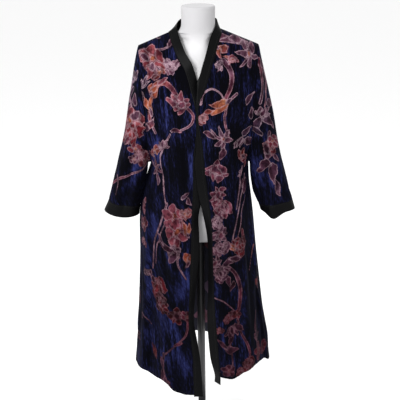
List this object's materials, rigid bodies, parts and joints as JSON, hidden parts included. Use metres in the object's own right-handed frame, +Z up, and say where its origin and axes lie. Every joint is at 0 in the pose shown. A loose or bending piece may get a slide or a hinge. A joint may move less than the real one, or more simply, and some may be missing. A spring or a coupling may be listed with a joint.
{
  "type": "kimono robe on a limbless dress form with a pole stand",
  "caption": "Long open-front velvet robe with wide sleeves, satin neck band and cuffs, worn on a limbless dress form on a pole and round base",
  "frame": {"origin": "centre of the stand base's underside, on the floor", "axes": "+Z up the pole, +X to the right of a viewer in front, -Y towards that viewer, out of the open front"},
  "size_m": [0.6749, 0.3771, 1.6],
  "materials": {
    "velvet": "crushed burnt-out velvet, navy with mauve and rose flowers",
    "satin": "black satin",
    "form_cloth": "smooth white jersey cover",
    "dark_metal": "dark satin paint"
  },
  "bodies": {
    "root": {"back_panel": "velvet", "front_panel_right": "velvet", "front_panel_left": "velvet", "sleeve_right": "velvet", "sleeve_left": "velvet", "cuff_right": "satin", "cuff_left": "satin", "front_band_right": "satin", "front_band_left": "satin", "form_torso": "form_cloth", "stand_pole": "dark_metal", "stand_base": "dark_metal"}
  },
  "joints": []
}
